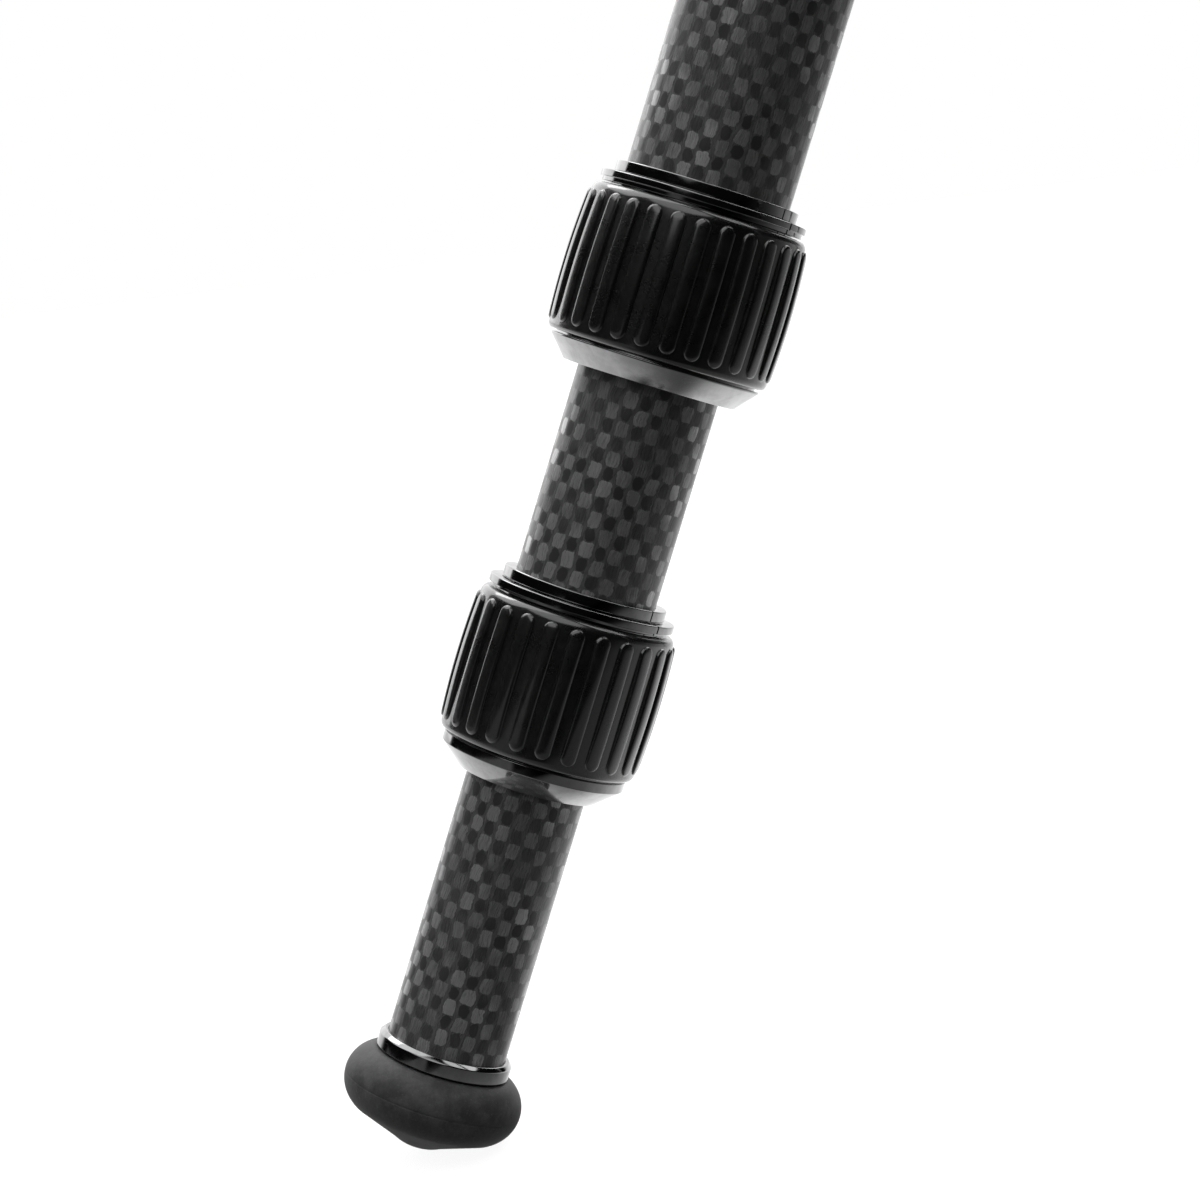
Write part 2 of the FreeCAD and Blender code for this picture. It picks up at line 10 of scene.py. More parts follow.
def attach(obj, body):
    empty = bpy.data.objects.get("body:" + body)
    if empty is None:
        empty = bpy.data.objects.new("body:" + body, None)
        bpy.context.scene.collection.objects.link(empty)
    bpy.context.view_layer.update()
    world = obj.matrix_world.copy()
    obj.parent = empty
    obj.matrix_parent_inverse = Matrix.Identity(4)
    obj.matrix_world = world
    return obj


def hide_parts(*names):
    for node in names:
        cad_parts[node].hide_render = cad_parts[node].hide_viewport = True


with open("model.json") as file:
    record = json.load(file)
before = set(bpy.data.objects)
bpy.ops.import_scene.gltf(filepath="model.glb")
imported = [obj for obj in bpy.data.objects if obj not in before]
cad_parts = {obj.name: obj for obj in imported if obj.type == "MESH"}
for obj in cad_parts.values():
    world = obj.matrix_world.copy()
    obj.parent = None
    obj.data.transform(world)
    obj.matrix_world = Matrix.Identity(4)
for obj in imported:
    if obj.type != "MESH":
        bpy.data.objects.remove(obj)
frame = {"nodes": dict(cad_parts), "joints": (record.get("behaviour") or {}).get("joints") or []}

bl_info = {
    "name": "Camera tripod",
    "version": (1, 0, 0),
    "blender": (4, 5, 0),
    "location": "3D View > Sidebar > Tripod",
    "description": "Builds the finished pieces, materials and studio of a camera tripod",
    "category": "Object",
}

MM = 0.001
LEGS = ("leg1", "leg2", "leg3")
JOINTS = {joint["name"]: joint for joint in frame["joints"]}
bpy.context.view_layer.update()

# Distances under which points are one, and edges count as cut by a plane
SAME, ON_PLANE = 0.001 * MM, 0.0001 * MM
ON_AXIS = 0.01 * MM         # radius under which a corner of an outline lies on its axis
# Angles in radians: a straight line, a flat face, a corner that is rounded, and one of a casting
STRAIGHT, FLAT, CORNER, CASTING_CORNER = 0.01, math.radians(0.5), math.radians(20), math.radians(28)
ROUNDED_SHARE = 0.4         # most of its edges' length that the rounding of a corner takes
# Steps round a turned piece
TUBE_STEPS, TURNED_STEPS, FOOT_STEPS, COLLAR_STEPS = 96, 112, 128, 224
# Angles in degrees above which the edges of a piece stay sharp
TURNED_SHARP, CASTING_SHARP, GRIP_SHARP, FOOT_SHARP = 12, 35, 40, 50
TUBE_EDGE = 0.15 * MM       # rounding of the ends of tubes and foot collars
BOLT_EDGE = 0.3 * MM        # rounding of bolts, hook, platform and stud
BEVEL_RANGE = (0.2 * MM, 0.4 * MM)      # width of the CAD bevels that keener() draws in
BEVEL_DRAWN = 0.6           # how far it draws them towards their corners
GROOVE_DEPTH, GROOVE_HALF = 0.10 * MM, 0.13 * MM    # mould groove of a foot
# Cells of the weave round a tube, and how many cells its pattern is shifted round and along it
WEAVES = {
    "upper_tube": (34, (-0.28, 0.82)),
    "mid_tube": (30, (0.5, 0.5)),
    "low_tube": (26, (0.2, 0.68)),
    "centre_column": (33, (0.0, 0.0)),
}
# A rib is raised by so much of its height, then drawn in by steps: each is how far it draws in,
# in millimetres, and how far it rises, as a share of its height
RIB_FOOT_RISE = 0.04
RIB_STEPS = ((0.04, 0.14), (0.04, 0.22), (0.06, 0.20), (0.10, 0.15), (0.16, 0.13), (0.24, 0.09),
             (0.32, 0.05), (0.33, 0.02))
RIB_SUNK = 0.06             # share of a rib's height that stands inside the sleeve
RIB_CORNERS = 28            # corners of a rib's outline
GRIP_SECTIONS = 12          # sections along a grip

# The camera of the photograph, the foot that it shows, and the level of the floor
CAMERA_PLACE = (-0.256492, -0.533149, 0.174042)
CAMERA_TURN = (81.2956, 6.9187, -7.1795)
CAMERA_LENS, SENSOR_WIDTH, CLIP_START = 93.897, 36.0, 0.02
FOOT_PLACE = (-0.195, 0.0, 0.0)
FLOOR_PLACE, FLOOR_HALF = (0.0, 1.5, -0.0003), 2.5


# Sizes and colours

def length(label, text, millimetres):
    """Length property, its default given in millimetres."""
    return FloatProperty(name=label, description=text, default=millimetres * MM, min=0.0,
                         precision=5, subtype="DISTANCE", unit="LENGTH")


def colour(label, text, value):
    """Linear colour property with a grey default."""
    return FloatVectorProperty(name=label, description=text, default=(value, value, value * 1.01),
                               min=0.0, max=1.0, size=3, subtype="COLOR")


class TRIPOD_PG_lower_grip(bpy.types.PropertyGroup):
    """Rubber grip of the lower twist lock"""
    low_radius: length("Low crest", "Radius over the ribs at the lower end", 17.75)
    middle_radius: length("Middle crest", "Radius over the ribs halfway up", 18.3)
    high_radius: length("High crest", "Radius over the ribs at the upper end", 17.8)
    ribs: IntProperty(name="Ribs", description="Number of ribs round the grip", default=24, min=3)
    first_rib: FloatProperty(name="First rib", description="Direction of the first rib",
                             default=math.radians(84.5), subtype="ANGLE", unit="ROTATION")


class TRIPOD_PG_upper_grip(bpy.types.PropertyGroup):
    """Rubber grip of the upper twist lock"""
    low_radius: length("Low crest", "Radius over the ribs at the lower end", 19.8)
    middle_radius: length("Middle crest", "Radius over the ribs halfway up", 20.2)
    high_radius: length("High crest", "Radius over the ribs at the upper end", 19.45)
    ribs: IntProperty(name="Ribs", description="Number of ribs round the grip", default=28, min=3)
    first_rib: FloatProperty(name="First rib", description="Direction of the first rib",
                             default=math.radians(84.5), subtype="ANGLE", unit="ROTATION")


class TRIPOD_PG_column_grip(bpy.types.PropertyGroup):
    """Rubber grip of the column lock"""
    low_radius: length("Low crest", "Radius over the ribs at the lower end", 20.93)
    middle_radius: length("Middle crest", "Radius over the ribs halfway up", 21.43)
    high_radius: length("High crest", "Radius over the ribs at the upper end", 20.93)
    ribs: IntProperty(name="Ribs", description="Number of ribs round the grip", default=30, min=3)
    first_rib: FloatProperty(name="First rib", description="Direction of the first rib",
                             default=0.0, subtype="ANGLE", unit="ROTATION")


class TRIPOD_PG_sizes(bpy.types.PropertyGroup):
    """Sizes that all the grips, rings and tubes share"""
    rib_width: length("Rib width", "Width of a rib at half its height", 2.6)
    rib_foot: length("Rib foot", "Width of the curve between a rib and the sleeve", 0.22)
    rib_margin: length("Rib margin", "Distance from a rib to the end of the sleeve", 1.6)
    low_relief: length("Low relief", "Height of a rib at its lower end", 0.25)
    middle_relief: length("Middle relief", "Height of a rib halfway up", 0.72)
    high_relief: length("High relief", "Height of a rib at its upper end", 0.4)
    low_inset: length("Low inset", "How far the lower end of a sleeve draws in", 0.68)
    low_shoulder: length("Low shoulder", "Height of the sleeve's lower rounding", 1.1)
    high_inset: length("High inset", "How far the upper end of a sleeve draws in", 1.12)
    high_shoulder: length("High shoulder", "Height of the sleeve's upper rounding", 1.5)
    ring_edge: length("Ring edge", "Rounding of the metal rings' edges", 0.11)
    casting_edge: length("Casting edge", "Rounding of the castings' edges", 0.5)
    slit: length("Slit", "Width of the slit through a lock collar", 0.4)
    slit_direction: FloatProperty(name="Slit direction", description="Where the slit stands",
                                  default=math.radians(137.5), subtype="ANGLE", unit="ROTATION")
    weave_cell: length("Weave cell", "Length of one cell of the carbon weave", 2.65)


class TRIPOD_PG_finishes(bpy.types.PropertyGroup):
    """Colours of the finishes"""
    # Painted sheen: the light colour of the tows along a tube stands in for the light that they
    # catch
    tow_along_sheen: colour("Tow along", "Carbon tows that run along a tube", 0.62)
    tow_round: colour("Tow round", "Carbon tows that run round a tube", 0.05)
    resin: colour("Resin", "Resin between the tows", 0.12)
    grip_rubber: colour("Grip rubber", "Rubber of the grips", 0.01)
    foot_rubber: colour("Foot rubber", "Rubber of the feet", 0.10)
    black_metal: colour("Black metal", "Glossy rings, cones and collars", 0.36)
    satin_metal: colour("Satin metal", "Castings, latches and platform", 0.035)
    steel: colour("Steel", "Bolts and head stud", 0.55)
    guide: colour("Guide", "Plastic sleeves inside the locks", 0.10)


class TRIPOD_PG_settings(bpy.types.PropertyGroup):
    """All the settings of the tripod"""
    sizes: PointerProperty(type=TRIPOD_PG_sizes)
    finishes: PointerProperty(type=TRIPOD_PG_finishes)
    lower_grip: PointerProperty(type=TRIPOD_PG_lower_grip)
    upper_grip: PointerProperty(type=TRIPOD_PG_upper_grip)
    column_grip: PointerProperty(type=TRIPOD_PG_column_grip)


# Axes of the legs, and what the frame says about a node

def leg_axes(leg):
    """Matrix from a leg's own axes to the model's."""
    up = -Vector(JOINTS[leg + "_middle_slide"]["axis"])
    out = Vector(JOINTS[leg + "_latch_pull"]["axis"])
    turn = Matrix((out, up.cross(out), up)).transposed().to_4x4()
    return Matrix.Translation(Vector(JOINTS[leg + "_spread"]["pos_m"])) @ turn


COLUMN_AXES = Matrix.Identity(4)
LEG_AXES = {leg: leg_axes(leg) for leg in LEGS}


def reach(node, axes):
    """Lowest level, highest level, and smallest and largest radius of a node about an axis."""
    points = [axes.inverted() @ v.co for v in frame["nodes"][node].data.vertices]
    radii = [math.hypot(p.x, p.y) for p in points]
    levels = [p.z for p in points]
    return min(levels), max(levels), min(radii), max(radii)


# Mesh tools

def merged_copy(node, axes):
    """bmesh copy of a CAD node in its own axes, with its loose triangles joined."""
    bm = bmesh.new()
    bm.from_mesh(frame["nodes"][node].data)
    bm.transform(axes.inverted())
    bmesh.ops.remove_doubles(bm, verts=bm.verts, dist=SAME)
    return bm


def half_section(node, axes):
    """Flat outline of a turned CAD node, from its axis or bore outwards, as one face."""
    bm = merged_copy(node, axes)
    for normal in ((0, 1, 0), (1, 0, 0)):
        bmesh.ops.bisect_plane(bm, geom=bm.verts[:] + bm.edges[:] + bm.faces[:], dist=ON_PLANE,
                               plane_co=(0, 0, 0), plane_no=normal, clear_inner=True,
                               clear_outer=normal == (0, 1, 0))
    bmesh.ops.remove_doubles(bm, verts=bm.verts, dist=SAME)
    ends = [v for v in bm.verts if len(v.link_edges) == 1]
    if len(ends) == 2:
        bm.edges.new(ends)
    straight = [v for v in bm.verts
                if len(v.link_edges) == 2 and v.calc_edge_angle() < STRAIGHT]
    bmesh.ops.dissolve_verts(bm, verts=straight)
    bmesh.ops.contextual_create(bm, geom=bm.edges[:])
    return bm


def outline(points):
    """Flat outline of a turned piece as one face; a point is (radius, level)."""
    bm = bmesh.new()
    bm.faces.new([bm.verts.new((radius, 0.0, level)) for radius, level in points])
    return bm


def round_corners(bm, size, segments=4):
    """Round the corners of an outline, less where their edges are short."""
    corners = []
    for vert in bm.verts:
        if vert.co.x > ON_AXIS and vert.calc_edge_angle() > CORNER:
            room = min(edge.calc_length() for edge in vert.link_edges)
            corners.append((vert, min(size, ROUNDED_SHARE * room)))
    for vert, offset in corners:
        bmesh.ops.bevel(bm, geom=[vert], offset=offset, offset_type="OFFSET", segments=segments,
                        profile=0.5, affect="VERTICES", material=-1)
    return bm


def keener(bm, share):
    """Draw the short sloping edges of an outline towards the corners that they cut off."""
    for edge in bm.edges:
        low, high = sorted(edge.verts, key=lambda v: v.co.z)
        slope = Vector((low.co.x - high.co.x, 0.0, high.co.z - low.co.z))
        if all(BEVEL_RANGE[0] < side < BEVEL_RANGE[1] for side in (slope.x, slope.z)):
            corner = Vector((low.co.x, 0.0, high.co.z))
            for vert in (low, high):
                vert.co = vert.co.lerp(corner, share)
    return bm


def spun(bm, steps, slit=0.0, direction=0.0):
    """Spin an outline about Z into a closed solid, or into one with a slit through it."""
    if slit:
        bmesh.ops.rotate(bm, verts=bm.verts, cent=(0, 0, 0),
                         matrix=Matrix.Rotation(direction + slit / 2, 3, "Z"))
    else:
        bmesh.ops.delete(bm, geom=bm.faces[:], context="FACES_ONLY")
        on_axis = [e for e in bm.edges if all(v.co.x < SAME for v in e.verts)]
        bmesh.ops.delete(bm, geom=on_axis, context="EDGES")
    bmesh.ops.spin(bm, geom=bm.verts[:] + bm.edges[:] + bm.faces[:], cent=(0, 0, 0),
                   axis=(0, 0, 1), dvec=(0, 0, 0), angle=2 * math.pi - slit, steps=steps,
                   use_merge=not slit, use_normal_flip=False, use_duplicate=False)
    bmesh.ops.remove_doubles(bm, verts=bm.verts, dist=0.0005 * MM)
    bmesh.ops.recalc_face_normals(bm, faces=bm.faces)
    return bm


def quarter(centre, reach_out, rise, start, end, count=6):
    """Points of a quarter of an oval about a centre, its angles in degrees."""
    angles = [math.radians(start + (end - start) * i / count) for i in range(count + 1)]
    return [(centre[0] + reach_out * math.cos(a), centre[1] + rise * math.sin(a)) for a in angles]


def bow(low, middle, high, share):
    """Value on the smooth curve through three equally spaced values, share being 0 to 1."""
    return (low * (1 - share) * (1 - 2 * share) + middle * 4 * share * (1 - share)
            + high * share * (2 * share - 1))


def piece(name, bm, axes, body, nodes, material, sharp=TURNED_SHARP):
    """Make one finished piece from a bmesh in its own axes, in the place of CAD nodes."""
    bm.transform(axes)
    mesh = bpy.data.meshes.new(name)
    bm.to_mesh(mesh)
    mesh.shade_smooth()
    mesh.set_sharp_from_angle(angle=math.radians(sharp))
    obj = bpy.data.objects.new(name, mesh)
    bpy.context.scene.collection.objects.link(obj)
    mesh.materials.append(material)
    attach(obj, body)
    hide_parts(*nodes)
    return obj


def on_each_leg(label, make, node, part, material, sharp=TURNED_SHARP):
    """Make the same piece on each leg, from a function that gives its bmesh."""
    pattern = make()
    for leg in LEGS:
        piece(f"{leg}_{label}_finished", pattern.copy(), LEG_AXES[leg], f"{leg}_{part}",
              [f"{leg}_{node}"], material, sharp)
    pattern.free()


def weave_map(bm, cells, cell, shift):
    """UV map in cells of the weave, round the tube and along it, with its shift in cells."""
    layer = bm.loops.layers.uv.new("weave")
    for face in bm.faces:
        middle = face.calc_center_median()
        base = math.atan2(middle.y, middle.x)
        for loop in face.loops:
            at = loop.vert.co
            turn = base + math.remainder(math.atan2(at.y, at.x) - base, 2 * math.pi)
            loop[layer].uv = (turn / (2 * math.pi) * cells + shift[0], at.z / cell + shift[1])
    return bm


# Material tools

def add(tree, kind, inputs=None, **settings):
    """Add a node with its settings, and with values or sockets for its inputs."""
    node = tree.nodes.new(kind)
    for name, value in settings.items():
        setattr(node, name, value)
    for key, value in (inputs or {}).items():
        if isinstance(value, bpy.types.NodeSocket):
            tree.links.new(value, node.inputs[key])
        else:
            node.inputs[key].default_value = value
    return node


def maths(tree, operation, *values):
    """Output of a Math node."""
    return add(tree, "ShaderNodeMath", dict(enumerate(values)), operation=operation).outputs[0]


def ranged(tree, value, low, high, to_low=0.0, to_high=1.0, kind="SMOOTHSTEP"):
    """Output of a Map Range node."""
    return add(tree, "ShaderNodeMapRange", {0: value, 1: low, 2: high, 3: to_low, 4: to_high},
               interpolation_type=kind).outputs[0]


def mixed(tree, share, first, second):
    """Output of a colour Mix node."""
    return add(tree, "ShaderNodeMix", {0: share, 6: first, 7: second},
               data_type="RGBA").outputs[2]


def blended(tree, share, first, second):
    """Output of a number Mix node."""
    return add(tree, "ShaderNodeMix", {0: share, 2: first, 3: second},
               data_type="FLOAT").outputs[0]


def noise(tree, where, scale, detail=2.0, roughness=0.5):
    """Height of a Noise Texture node."""
    return add(tree, "ShaderNodeTexNoise", {"Vector": where, "Scale": scale, "Detail": detail,
                                            "Roughness": roughness}).outputs[0]


def combined(tree, x, y, z=0.0):
    """Output of a Combine XYZ node."""
    return add(tree, "ShaderNodeCombineXYZ", {0: x, 1: y, 2: z}).outputs[0]


def bump(tree, height, distance, strength):
    """Normal of a Bump node."""
    return add(tree, "ShaderNodeBump", {"Height": height, "Distance": distance,
                                        "Strength": strength}).outputs[0]


def start_material(name):
    """New material with its node tree, its shader and its object coordinates."""
    material = bpy.data.materials.new(name)
    material.use_nodes = True
    tree = material.node_tree
    where = add(tree, "ShaderNodeTexCoord").outputs["Object"]
    return material, tree, tree.nodes["Principled BSDF"], where


def rgba(value):
    """Colour property as four numbers."""
    return (*value, 1.0)


def scaled(value, share):
    """Lighter or darker version of a colour property."""
    return (*(min(1.0, part * share) for part in value), 1.0)


def dress(shader, tree, sockets, **links):
    """Set constants on the shader's own sockets and link the rest."""
    for name, value in sockets.items():
        shader.inputs[name].default_value = value
    for name, socket in links.items():
        tree.links.new(socket, shader.inputs[name.replace("_", " ").title()])


def cushion(tree, across, along, half_x, half_y, power):
    """Mask of a rounded cell of the weave, 1 inside and 0 outside."""
    x = maths(tree, "ABSOLUTE", maths(tree, "SUBTRACT", maths(tree, "FRACT", across), 0.5))
    y = maths(tree, "ABSOLUTE", maths(tree, "SUBTRACT", maths(tree, "FRACT", along), 0.5))
    x = maths(tree, "POWER", maths(tree, "DIVIDE", x, half_x), power)
    y = maths(tree, "POWER", maths(tree, "DIVIDE", y, half_y), power)
    return ranged(tree, maths(tree, "ADD", x, y), 1.2, 0.75)


def carbon_weave(finishes):
    """Clear-coated plain weave with a painted sheen: tows along the tube are coloured light in
    place of the light that they catch, tows round it stay dark.
    """
    material, tree, shader, where = start_material("carbon_weave")
    weave = add(tree, "ShaderNodeUVMap", uv_map="weave").outputs[0]
    split = add(tree, "ShaderNodeSeparateXYZ", {0: weave})

    def straying(scale, cells):
        """Noise about zero that is so many cells wide."""
        centred = maths(tree, "SUBTRACT", noise(tree, where, scale), 0.5)
        return maths(tree, "MULTIPLY", centred, cells)

    fray = straying(1700.0, 0.2)
    across = maths(tree, "ADD", split.outputs[0], maths(tree, "ADD", straying(300.0, 0.42), fray))
    along = maths(tree, "ADD", split.outputs[1], maths(tree, "ADD", straying(210.0, 0.42), fray))
    column, row = maths(tree, "FLOOR", across), maths(tree, "FLOOR", along)
    parity = maths(tree, "FLOORED_MODULO", maths(tree, "ADD", column, row), 2.0)
    chance = add(tree, "ShaderNodeTexWhiteNoise", {"Vector": combined(tree, column, row)},
                 noise_dimensions="2D").outputs[0]
    # Tows along the tube show in one colour of the checkerboard, tows round it in the other; the
    # weave is real, the light colour of the tows along it is a painted sheen
    upright = cushion(tree, across, along, half_x=0.42, half_y=0.56, power=3.6)
    upright = maths(tree, "MULTIPLY", upright, parity)
    lying = cushion(tree, across, along, half_x=0.36, half_y=0.45, power=2.4)
    lying = maths(tree, "MULTIPLY", lying, maths(tree, "SUBTRACT", 1.0, parity))
    strands = combined(tree, maths(tree, "MULTIPLY", across, 15.0),
                       maths(tree, "MULTIPLY", along, 0.9))
    fibres = noise(tree, strands, scale=1.0, detail=3.0, roughness=0.6)
    clouds = ranged(tree, noise(tree, where, scale=90.0), 0.38, 0.62, 0.35, 1.0)
    # How far a tow shines, painted into its colour: by its place, by chance and by its fibres
    lift = maths(tree, "MULTIPLY", clouds, ranged(tree, chance, 0.0, 1.0, 0.25, 1.2, "LINEAR"))
    lift = maths(tree, "MULTIPLY", lift, ranged(tree, fibres, 0.3, 0.7, 0.35, 1.35, "LINEAR"))
    shown = maths(tree, "MULTIPLY", upright, lift)
    sunk = maths(tree, "MULTIPLY", lying, ranged(tree, clouds, 0.35, 1.0, 0.45, 1.0, "LINEAR"))
    ground = mixed(tree, ranged(tree, fibres, 0.3, 0.7), scaled(finishes.resin, 0.6),
                   scaled(finishes.resin, 1.7))
    base = mixed(tree, shown, mixed(tree, sunk, ground, rgba(finishes.tow_round)),
                 rgba(finishes.tow_along_sheen))
    relief = maths(tree, "ADD", upright, maths(tree, "MULTIPLY", fibres, 0.4))
    dress(shader, tree, {"Coat Weight": 0.6, "Coat Roughness": 0.12},
          base_color=base, metallic=blended(tree, shown, 0.3, 0.9),
          roughness=blended(tree, shown, 0.52, 0.38),
          normal=bump(tree, relief, distance=0.03 * MM, strength=0.3))
    return material


def grip_rubber(finishes):
    """Dense black rubber: a fine moulded grain under a smooth, glossy skin."""
    material, tree, shader, where = start_material("grip_rubber")
    grain = noise(tree, where, scale=4200.0, detail=1.5, roughness=0.6)
    wear = noise(tree, where, scale=240.0, detail=4.0, roughness=0.65)
    base = mixed(tree, ranged(tree, wear, 0.35, 0.7), scaled(finishes.grip_rubber, 0.8),
                 scaled(finishes.grip_rubber, 1.5))
    dress(shader, tree, {"Specular IOR Level": 0.5, "Coat Weight": 1.0, "Coat Roughness": 0.1,
                         "Coat IOR": 2.0},
          base_color=base, roughness=ranged(tree, wear, 0.3, 0.7, to_low=0.26, to_high=0.34),
          normal=bump(tree, grain, distance=0.06 * MM, strength=1.0))
    return material


def foot_rubber(finishes):
    """Matte rubber, blotched with pale dust and finely scuffed."""
    material, tree, shader, where = start_material("foot_rubber")
    blotches = noise(tree, where, scale=190.0, detail=6.0, roughness=0.7)
    dust = ranged(tree, noise(tree, where, scale=1900.0, detail=3.0, roughness=0.7), 0.55, 0.75)
    base = mixed(tree, ranged(tree, blotches, 0.35, 0.68), scaled(finishes.foot_rubber, 0.62),
                 scaled(finishes.foot_rubber, 1.3))
    base = mixed(tree, maths(tree, "MULTIPLY", dust, 0.35), base, scaled(finishes.foot_rubber, 2.2))
    pores = noise(tree, where, scale=2400.0, detail=3.0, roughness=0.6)
    dress(shader, tree, {"Specular IOR Level": 0.25},
          base_color=base, roughness=ranged(tree, blotches, 0.3, 0.7, to_low=0.48, to_high=0.66),
          normal=bump(tree, pores, distance=0.05 * MM, strength=0.5))
    return material


def black_metal(finishes):
    """Glossy black metal with fine hazing and specks."""
    material, tree, shader, where = start_material("black_metal_gloss")
    haze = noise(tree, where, scale=420.0, detail=3.0, roughness=0.6)
    specks = noise(tree, where, scale=3200.0, detail=1.0)
    tone = mixed(tree, ranged(tree, haze, 0.35, 0.7), rgba(finishes.black_metal),
                 scaled(finishes.black_metal, 0.82))
    dress(shader, tree, {"Metallic": 1.0, "Coat Weight": 0.3, "Coat Roughness": 0.04},
          base_color=tone, roughness=ranged(tree, haze, 0.3, 0.7, to_low=0.07, to_high=0.14),
          normal=bump(tree, specks, distance=0.003 * MM, strength=0.25))
    return material


def cone_metal(finishes):
    """The same black metal with a satin face."""
    material, tree, shader, where = start_material("black_metal_satin")
    haze = noise(tree, where, scale=300.0, detail=3.0, roughness=0.6)
    specks = noise(tree, where, scale=2600.0, detail=2.0)
    tone = mixed(tree, ranged(tree, haze, 0.35, 0.7), scaled(finishes.black_metal, 1.35),
                 scaled(finishes.black_metal, 1.1))
    dress(shader, tree, {"Metallic": 1.0, "Coat Weight": 0.15, "Coat Roughness": 0.1},
          base_color=tone, roughness=ranged(tree, haze, 0.3, 0.7, to_low=0.13, to_high=0.21),
          normal=bump(tree, specks, distance=0.004 * MM, strength=0.3))
    return material


def satin_casting(finishes):
    """Satin black coating with a fine orange peel, rubbed lighter in places."""
    material, tree, shader, where = start_material("satin_casting")
    peel = noise(tree, where, scale=1500.0, detail=3.0, roughness=0.6)
    rub = ranged(tree, noise(tree, where, scale=70.0, detail=4.0, roughness=0.65), 0.58, 0.8)
    tone = mixed(tree, rub, rgba(finishes.satin_metal),
                 scaled(finishes.satin_metal, 1.9))
    dress(shader, tree, {"Metallic": 0.2, "Specular IOR Level": 0.5},
          base_color=tone, roughness=ranged(tree, peel, 0.3, 0.7, to_low=0.34, to_high=0.46),
          normal=bump(tree, peel, distance=0.02 * MM, strength=0.35))
    return material


def bright_steel(finishes):
    """Turned steel with fine marks."""
    material, tree, shader, where = start_material("turned_steel")
    split = add(tree, "ShaderNodeSeparateXYZ", {0: where})
    marks = noise(tree, combined(tree, maths(tree, "MULTIPLY", split.outputs[2], 9000.0),
                                 maths(tree, "MULTIPLY", split.outputs[0], 300.0),
                                 maths(tree, "MULTIPLY", split.outputs[1], 300.0)), 1.0, 3.0)
    tone = mixed(tree, ranged(tree, marks, 0.3, 0.7), rgba(finishes.steel),
                 scaled(finishes.steel, 0.7))
    dress(shader, tree, {"Metallic": 1.0},
          base_color=tone, roughness=ranged(tree, marks, 0.3, 0.7, to_low=0.22, to_high=0.36),
          normal=bump(tree, marks, distance=0.006 * MM, strength=0.3))
    return material


def guide_plastic(finishes):
    """Matte moulded plastic with a light grain."""
    material, tree, shader, where = start_material("guide_plastic")
    grain = noise(tree, where, scale=1800.0, detail=2.0)
    tone = mixed(tree, ranged(tree, noise(tree, where, scale=200.0, detail=3.0), 0.35, 0.65),
                 rgba(finishes.guide), scaled(finishes.guide, 0.8))
    dress(shader, tree, {}, base_color=tone,
          roughness=ranged(tree, grain, 0.3, 0.7, to_low=0.45, to_high=0.6),
          normal=bump(tree, grain, distance=0.015 * MM, strength=0.3))
    return material


FINISHES = {
    "carbon": carbon_weave,
    "grip": grip_rubber,
    "foot": foot_rubber,
    "metal": black_metal,
    "cone": cone_metal,
    "casting": satin_casting,
    "steel": bright_steel,
    "guide": guide_plastic,
}
MADE = {}


def finish(name):
    """Material of a finish, made when it is first asked for."""
    if name not in MADE:
        MADE[name] = FINISHES[name](bpy.context.scene.tripod.finishes)
    return MADE[name]


def finish_nodes(names, name):
    """Give CAD nodes that stay a material of their own."""
    for node in names:
        own = finish(name).copy()
        own.name = f"{finish(name).name}_{node}"
        slots = frame["nodes"][node].material_slots
        if not slots:
            frame["nodes"][node].data.materials.append(own)
        for slot in slots:
            slot.material = own


# Pieces

def turned_shape(node, axes, edge, steps=TURNED_STEPS):
    """Turned CAD node with its edges rounded."""
    return spun(round_corners(half_section(node, axes), edge), steps)


def tube_shape(node, axes, weave):
    """Tube with softened ends and the weave mapped on it, a whole number of cells round it."""
    cells, shift = WEAVES[weave]
    bm = turned_shape(node, axes, TUBE_EDGE, TUBE_STEPS)
    return weave_map(bm, cells, bpy.context.scene.tripod.sizes.weave_cell, shift)


